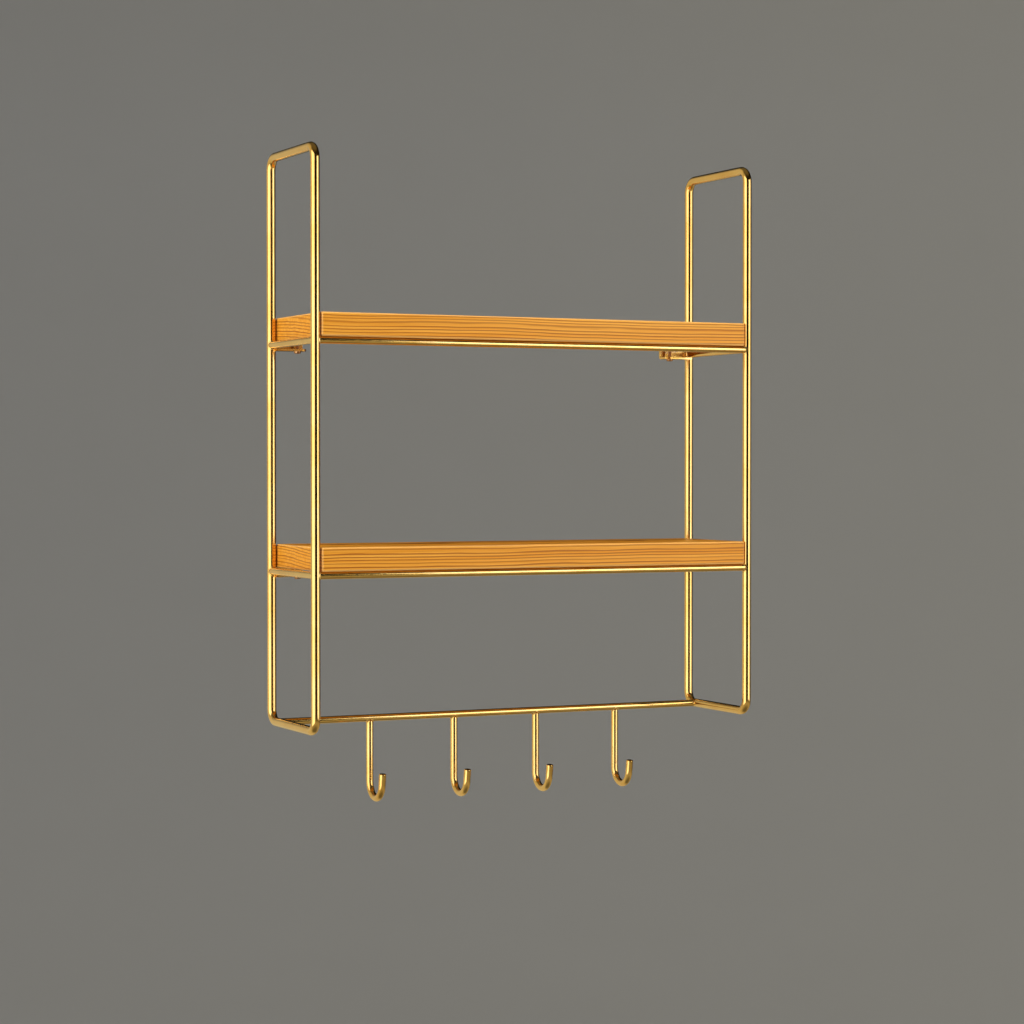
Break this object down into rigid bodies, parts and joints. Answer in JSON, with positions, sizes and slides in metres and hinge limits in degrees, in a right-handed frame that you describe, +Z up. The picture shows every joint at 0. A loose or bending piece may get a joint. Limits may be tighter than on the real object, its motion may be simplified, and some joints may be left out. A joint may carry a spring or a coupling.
{
  "type": "wall shelf with brackets",
  "caption": "Wall shelf: closed side loops of bent round bar carry wooden boards on welded rails, with a rail of open hooks below, and corner brackets that screw to the wall.",
  "frame": {"origin": "centre of the pattern of four wall screws, on the plane of the wall", "axes": "+Z up, +Y into the wall, +X to the right of a person who faces the shelf; the front looks along -Y"},
  "size_m": [0.54, 0.145, 0.719],
  "materials": {
    "gold_steel": "gold-coloured, glossy",
    "pine_board": "clear satin varnish",
    "bronze_screw": "bronze plated"
  },
  "bodies": {
    "root": {"hook_rail": "gold_steel", "inner_left_hook": "gold_steel", "inner_right_hook": "gold_steel", "left_side_loop": "gold_steel", "lower_board": "pine_board", "lower_front_rail": "gold_steel", "lower_left_board_screw": "bronze_screw", "lower_left_bracket": "gold_steel", "lower_left_side_rod": "gold_steel", "lower_right_board_screw": "bronze_screw", "lower_right_bracket": "gold_steel", "lower_right_side_rod": "gold_steel", "outer_left_hook": "gold_steel", "outer_right_hook": "gold_steel", "right_side_loop": "gold_steel", "upper_board": "pine_board", "upper_front_rail": "gold_steel", "upper_left_board_screw": "bronze_screw", "upper_left_bracket": "gold_steel", "upper_left_side_rod": "gold_steel", "upper_right_board_screw": "bronze_screw", "upper_right_bracket": "gold_steel", "upper_right_side_rod": "gold_steel"}
  },
  "joints": []
}
